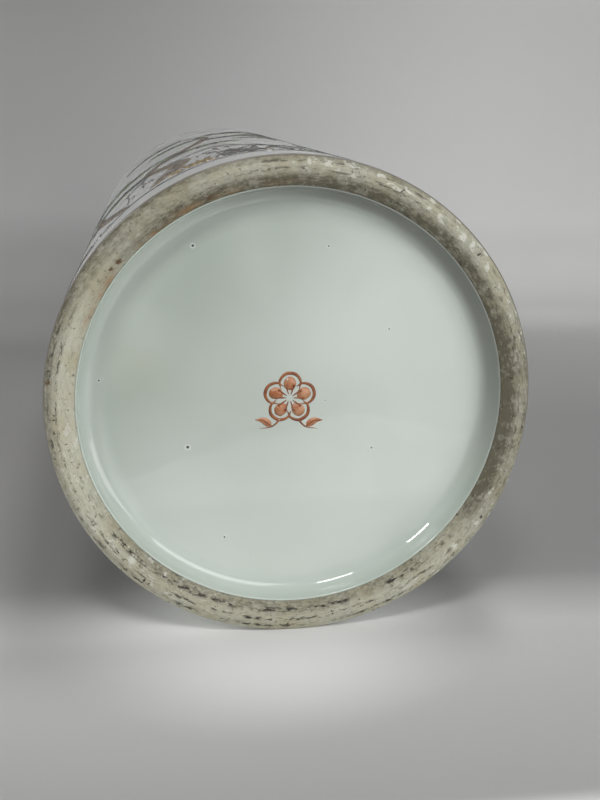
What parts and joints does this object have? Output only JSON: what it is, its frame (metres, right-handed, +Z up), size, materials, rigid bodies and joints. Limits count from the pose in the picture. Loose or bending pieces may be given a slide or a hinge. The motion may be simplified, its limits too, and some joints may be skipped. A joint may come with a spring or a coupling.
{
  "type": "hat stand",
  "caption": "Tall straight porcelain tube, open at the top, closed by a glazed base set up inside an unglazed turned foot ring.",
  "frame": {"origin": "centre of the foot, in the plane of its flat land that rests on the table", "axes": "+Z up along the tube's axis, from the foot to the mouth; +X and +Y are the picture's right and down in the plane of the foot"},
  "size_m": [0.12, 0.12, 0.285],
  "materials": {
    "biscuit": "unglazed, slightly rough, soiled",
    "paste": "fired white body under the glaze",
    "slip": "fired slip under the glaze",
    "wall_glaze": "glossy white with painted enamels",
    "base_glaze": "glossy pale blue-green"
  },
  "bodies": {
    "root": {"foot_ring": "biscuit", "under_base_slip": "slip", "base_disc": "paste", "inner_base_slip": "slip", "lower_drum": "paste", "wall_seam_slip": "slip", "upper_drum": "paste", "mouth_rim": "wall_glaze", "outer_glaze": "wall_glaze", "inner_glaze": "wall_glaze", "base_glaze": "base_glaze"}
  },
  "joints": []
}
